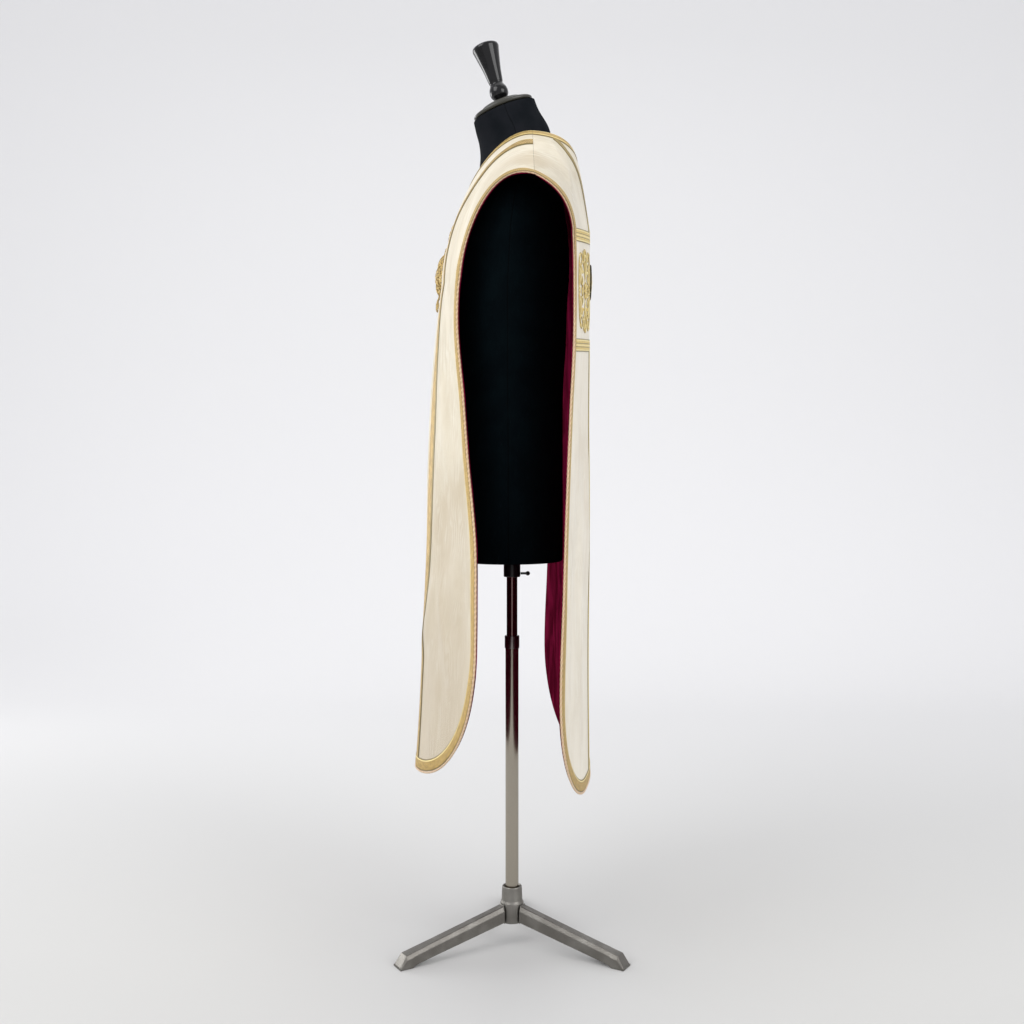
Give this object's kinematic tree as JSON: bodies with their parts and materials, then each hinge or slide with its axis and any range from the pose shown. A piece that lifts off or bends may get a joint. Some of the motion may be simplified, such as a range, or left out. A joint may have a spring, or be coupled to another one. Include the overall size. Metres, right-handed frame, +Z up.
{
  "type": "fiddleback chasuble on a dress form and tripod stand",
  "caption": "Lined silk fiddleback chasuble with gold braid and a braided cross on the back, worn on a limbless dress form that stands on a telescopic pole and tripod.",
  "frame": {"origin": "on the floor under the middle of the pole", "axes": "+Z up; the front of the garment faces -Y; the wearer's left is +X"},
  "size_m": [0.6774, 0.3768, 1.5118],
  "materials": {
    "ivory_silk": "ivory moire silk, soft sheen",
    "crimson_satin": "crimson satin, soft sheen",
    "gold_galloon": "woven metallic gold braid",
    "goldwork": "raised gold thread embroidery",
    "edge_cord": "peach and gold twisted cord",
    "black_jersey": "matt blue-black jersey",
    "black_lacquer": "black gloss lacquer on turned wood",
    "black_plastic": "black semi-gloss",
    "inner_steel": "bright polished",
    "outer_steel": "brushed along the tube",
    "ferrule_steel": "dark satin",
    "cast_aluminium": "satin cast and polished"
  },
  "bodies": {
    "stand": {"stand_hub": "cast_aluminium", "stand_leg_1": "cast_aluminium", "stand_leg_2": "cast_aluminium", "stand_leg_3": "cast_aluminium", "stand_outer_tube": "outer_steel", "stand_ferrule": "ferrule_steel"},
    "mast": {"stand_inner_tube": "inner_steel"},
    "form": {"front_panel": "ivory_silk", "back_panel": "ivory_silk", "front_lining": "crimson_satin", "back_lining": "crimson_satin", "front_edge_galloon": "gold_galloon", "back_edge_galloon": "gold_galloon", "front_neck_galloon": "gold_galloon", "back_neck_galloon": "gold_galloon", "front_edge_cord": "edge_cord", "back_edge_cord": "edge_cord", "front_column_galloon_left": "gold_galloon", "front_column_galloon_right": "gold_galloon", "back_cross_galloon_upper_left": "gold_galloon", "back_cross_galloon_upper_right": "gold_galloon", "back_cross_galloon_lower_left": "gold_galloon", "back_cross_galloon_lower_right": "gold_galloon", "back_medallion": "goldwork", "front_motif": "goldwork", "front_upper_motif": "goldwork", "back_arm_embroidery_left": "goldwork", "back_arm_embroidery_right": "goldwork", "form_torso": "black_jersey", "form_neck_cap": "black_lacquer", "form_finial": "black_lacquer", "form_socket": "black_plastic"},
    "thumb_screw": {"socket_thumb_screw": "black_plastic"}
  },
  "joints": [
    {"name": "mast_slide", "type": "slide", "parent": "stand", "child": "mast", "axis": [0, 0, 1], "range_m": [-0.095, 0.15]},
    {"name": "form_swivel", "type": "hinge", "parent": "mast", "child": "form", "pos_m": [0, 0, 0.63], "axis": [0, 0, 1], "continuous": true},
    {"name": "thumb_screw_turn", "type": "hinge", "parent": "form", "child": "thumb_screw", "pos_m": [0, 0.02, 0.621], "axis": [0, 1, 0], "continuous": true}
  ]
}
